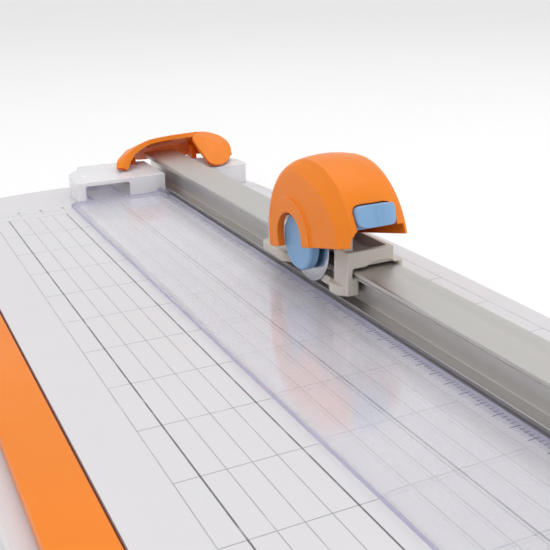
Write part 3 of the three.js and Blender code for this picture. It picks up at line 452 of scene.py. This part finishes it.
moulding("head_cover", "cutting_head", voxel=0.2, passes=3)
moulding("release_button", "release_button", voxel=0.16, passes=4)
moulding("blade_hub", "blade_set", voxel=0.14, passes=3)
moulding("blade_holder", "cutting_head", voxel=0.22, passes=3)
moulding("carriage_frame", "carriage", voxel=0.22, passes=10)
moulding("clamp_lever", "clamp_lever", voxel=0.24, passes=9)
for end in ("far", "near"):
    moulding(f"end_block_{end}", "base", voxel=0.3, passes=3, keep=0.25)
moulding("swing_arm", "swing_arm", voxel=0.35, passes=3, keep=0.2)

# ---------------------------------------------------------------------------
# Springs: round wire on a helix in the space of the CAD coil, with its turns closer at each end
# ---------------------------------------------------------------------------

RING = 10
STEPS_A_TURN = 40
CLOSING = 0.045


def make_spring(node, body, direction, turns, wire, joint, anchor_at_end):
    """direction is a unit vector along the spring. wire is the wire's radius."""
    points = [Vector(v.co) for v in frame["nodes"][node].data.vertices]
    heights = [point.dot(direction) for point in points]
    low, high = min(heights), max(heights)
    box_low, box_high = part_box(node)
    middle = (box_low + box_high) / 2
    axis_point = middle - direction * middle.dot(direction)
    outer = max((point - direction * point.dot(direction) - axis_point).length for point in points)
    radius = outer - wire
    side = Vector((1, 0, 0))
    up = direction.cross(side)
    total = int(turns * STEPS_A_TURN)
    angles = [2 * math.pi * k / RING for k in range(RING)]
    vertices = []
    for i in range(total + 1):
        share = i / total
        closing = share - CLOSING * math.sin(2 * math.pi * share)
        turn = 2 * math.pi * turns * share
        out = side * math.cos(turn) + up * math.sin(turn)
        height = low + wire + closing * (high - low - 2 * wire)
        centre = axis_point + direction * height + out * radius
        vertices += [centre + out * wire * math.cos(a) + direction * wire * math.sin(a) for a in angles]
    faces = [tuple(range(RING)), tuple(range(total * RING, (total + 1) * RING))]
    for i in range(total):
        for k in range(RING):
            n = (k + 1) % RING
            faces.append((i * RING + k, i * RING + n, (i + 1) * RING + n, (i + 1) * RING + k))
    spring = add_mesh("coil_" + node, vertices, faces)
    smooth(spring, 50)
    finish_piece(spring, body, node)
    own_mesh(spring)


UP = Vector((0, 0, 1))
push = Vector(joints["button_push"]["axis"]).normalized()
press = {"turns": 5, "wire": 0.4 * MM, "joint": "head_press", "anchor_at_end": False}
make_spring("press_spring_near", "carriage", UP, **press)
make_spring("press_spring_far", "carriage", UP, **press)
make_spring(
    "button_spring", "cutting_head", push, turns=4, wire=0.35 * MM, joint="button_push", anchor_at_end=True
)

# ---------------------------------------------------------------------------
# Printed numerals
# ---------------------------------------------------------------------------


INK_LIFT = 0.02 * MM
INK_HALF = 0.01 * MM


def numeral(name, text, across, along, size, ground=0.0):
    """Placed by its distance left of the cutting line and nearer than the first cross line. These and
    the size are in millimetres. ground is the height of what it is printed on, above the surface."""
    curve = bpy.data.curves.new(name, "FONT")
    curve.body = text
    curve.size = size * MM
    curve.extrude = INK_HALF
    curve.align_x = "CENTER"
    curve.align_y = "CENTER"
    source = bpy.data.objects.new(name + "_curve", curve)
    bpy.context.scene.collection.objects.link(source)
    bpy.context.view_layer.update()
    evaluated = source.evaluated_get(bpy.context.evaluated_depsgraph_get())
    mesh = bpy.data.meshes.new_from_object(evaluated)
    bpy.data.objects.remove(source)
    obj = bpy.data.objects.new(name, mesh)
    bpy.context.scene.collection.objects.link(obj)
    place = (CUT_X - across * MM, RULE_FAR - along * MM, SURFACE + ground + INK_LIFT)
    obj.data.transform(Matrix.Translation(place))
    dress(obj, ink)
    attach(obj, "base")


CENTIMETRE_ROW = -10.6
INCH_ROW = -34.7
plate_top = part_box("scrap_side_plate")[1].z - SURFACE
for n in range(3, 10):
    numeral(f"centimetre_{n}", str(n), across=10 * n, along=CENTIMETRE_ROW, size=3.4)
for n in range(1, 13):
    numeral(f"inch_row_{n}", str(n), across=INCH_ROW, along=INCH * n, size=3.6, ground=plate_top)

# ---------------------------------------------------------------------------
# Feet: turned rubber pads with a ring groove
# ---------------------------------------------------------------------------

# From the middle of the underside out and up, as shares of the foot's radius and height.
FOOT_PROFILE = (
    (0, 0), (0.45, 0), (0.5, 0.12), (0.62, 0.12), (0.68, 0), (0.92, 0), (0.98, 0.06), (1, 0.2), (1, 1), (0, 1)
)
FOOT_SEGMENTS = 64


def make_foot(node):
    low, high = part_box(node)
    middle = (low + high) / 2
    radius = (high.x - low.x) / 2
    height = high.z - low.z
    vertices = []
    for i in range(FOOT_SEGMENTS):
        turn = 2 * math.pi * i / FOOT_SEGMENTS
        for r, h in FOOT_PROFILE:
            across, along = radius * r * math.cos(turn), radius * r * math.sin(turn)
            vertices.append((middle.x + across, middle.y + along, low.z + height * h))
    faces = []
    count = len(FOOT_PROFILE)
    for i in range(FOOT_SEGMENTS):
        j = (i + 1) % FOOT_SEGMENTS
        for k in range(count - 1):
            faces.append((i * count + k, j * count + k, j * count + k + 1, i * count + k + 1))
    pad = add_mesh("pad_" + node, vertices, faces)
    work = bmesh.new()
    work.from_mesh(pad.data)
    bmesh.ops.dissolve_degenerate(work, edges=work.edges, dist=1e-7)
    work.to_mesh(pad.data)
    work.free()
    smooth(pad, 40)
    finish_piece(pad, "base", node)


for node in [name for name in frame["nodes"] if name.startswith("foot_")]:
    make_foot(node)

# ---------------------------------------------------------------------------
# Stage
# ---------------------------------------------------------------------------

FLOOR = 20
corners = [(-FLOOR, -FLOOR, 0), (FLOOR, -FLOOR, 0), (FLOOR, FLOOR, 0), (-FLOOR, FLOOR, 0)]
sheet = add_mesh("floor_sheet", corners, [(0, 1, 2, 3)])
floor_look = Shader("pale_floor")
floor_look.set(Base_Color=floor_look.mix(floor_look.noise(6, 3.0), (0.95, 0.95, 0.95), (0.98, 0.98, 0.98)))
floor_look.set(Roughness=0.8)
dress(sheet, floor_look)


def area_light(name, place, target, size, power):
    data = bpy.data.lights.new(name, "AREA")
    data.shape = "SQUARE"
    data.size = size
    data.energy = power
    light = bpy.data.objects.new(name, data)
    light.location = place
    light.rotation_euler = (Vector(target) - Vector(place)).to_track_quat("-Z", "Y").to_euler()
    bpy.context.scene.collection.objects.link(light)


area_light("key", (-0.6, -0.5, 0.9), (0, 0, 0), 0.7, 2.3)
area_light("top", (0.25, 0.15, 1.0), (0.02, 0, 0), 0.8, 1.7)
area_light("fill", (0.75, -0.6, 0.5), (0, 0, 0.02), 0.6, 0.7)

# The camera sees a white backdrop, and the object is lit by a slightly dimmer one.
world = bpy.data.worlds.new("studio")
world.use_nodes = True
backdrop = world.node_tree.nodes["Background"]
backdrop.inputs["Color"].default_value = (1, 1, 1, 1)
seen = world.node_tree.nodes.new("ShaderNodeLightPath")
strength = world.node_tree.nodes.new("ShaderNodeMapRange")
strength.inputs["To Min"].default_value = 0.82
strength.inputs["To Max"].default_value = 1.0
world.node_tree.links.new(seen.outputs["Is Camera Ray"], strength.inputs["Value"])
world.node_tree.links.new(strength.outputs["Result"], backdrop.inputs["Strength"])
bpy.context.scene.world = world
bpy.context.scene.view_settings.view_transform = "Standard"

# ---------------------------------------------------------------------------
# Camera
# ---------------------------------------------------------------------------

HEADING = math.radians(25.8)
PITCH = math.radians(-19.8)
ROLL = math.radians(-1.0)
LENS = 57.5
SENSOR = 36
FROM_PIN = Vector((-133.4, -249.4, 89.3)) * MM

camera_data = bpy.data.cameras.new("camera")
camera_data.lens = LENS
camera_data.sensor_width = SENSOR
camera_data.clip_start = 0.01
camera = bpy.data.objects.new("camera", camera_data)
swivel = Matrix.Rotation(-HEADING, 4, "Z")
tilt = Matrix.Rotation(math.pi / 2 + PITCH, 4, "X")
lean = Matrix.Rotation(ROLL, 4, "Z")
camera.matrix_world = Matrix.Translation(PIN + FROM_PIN) @ swivel @ tilt @ lean
bpy.context.scene.collection.objects.link(camera)
bpy.context.scene.camera = camera
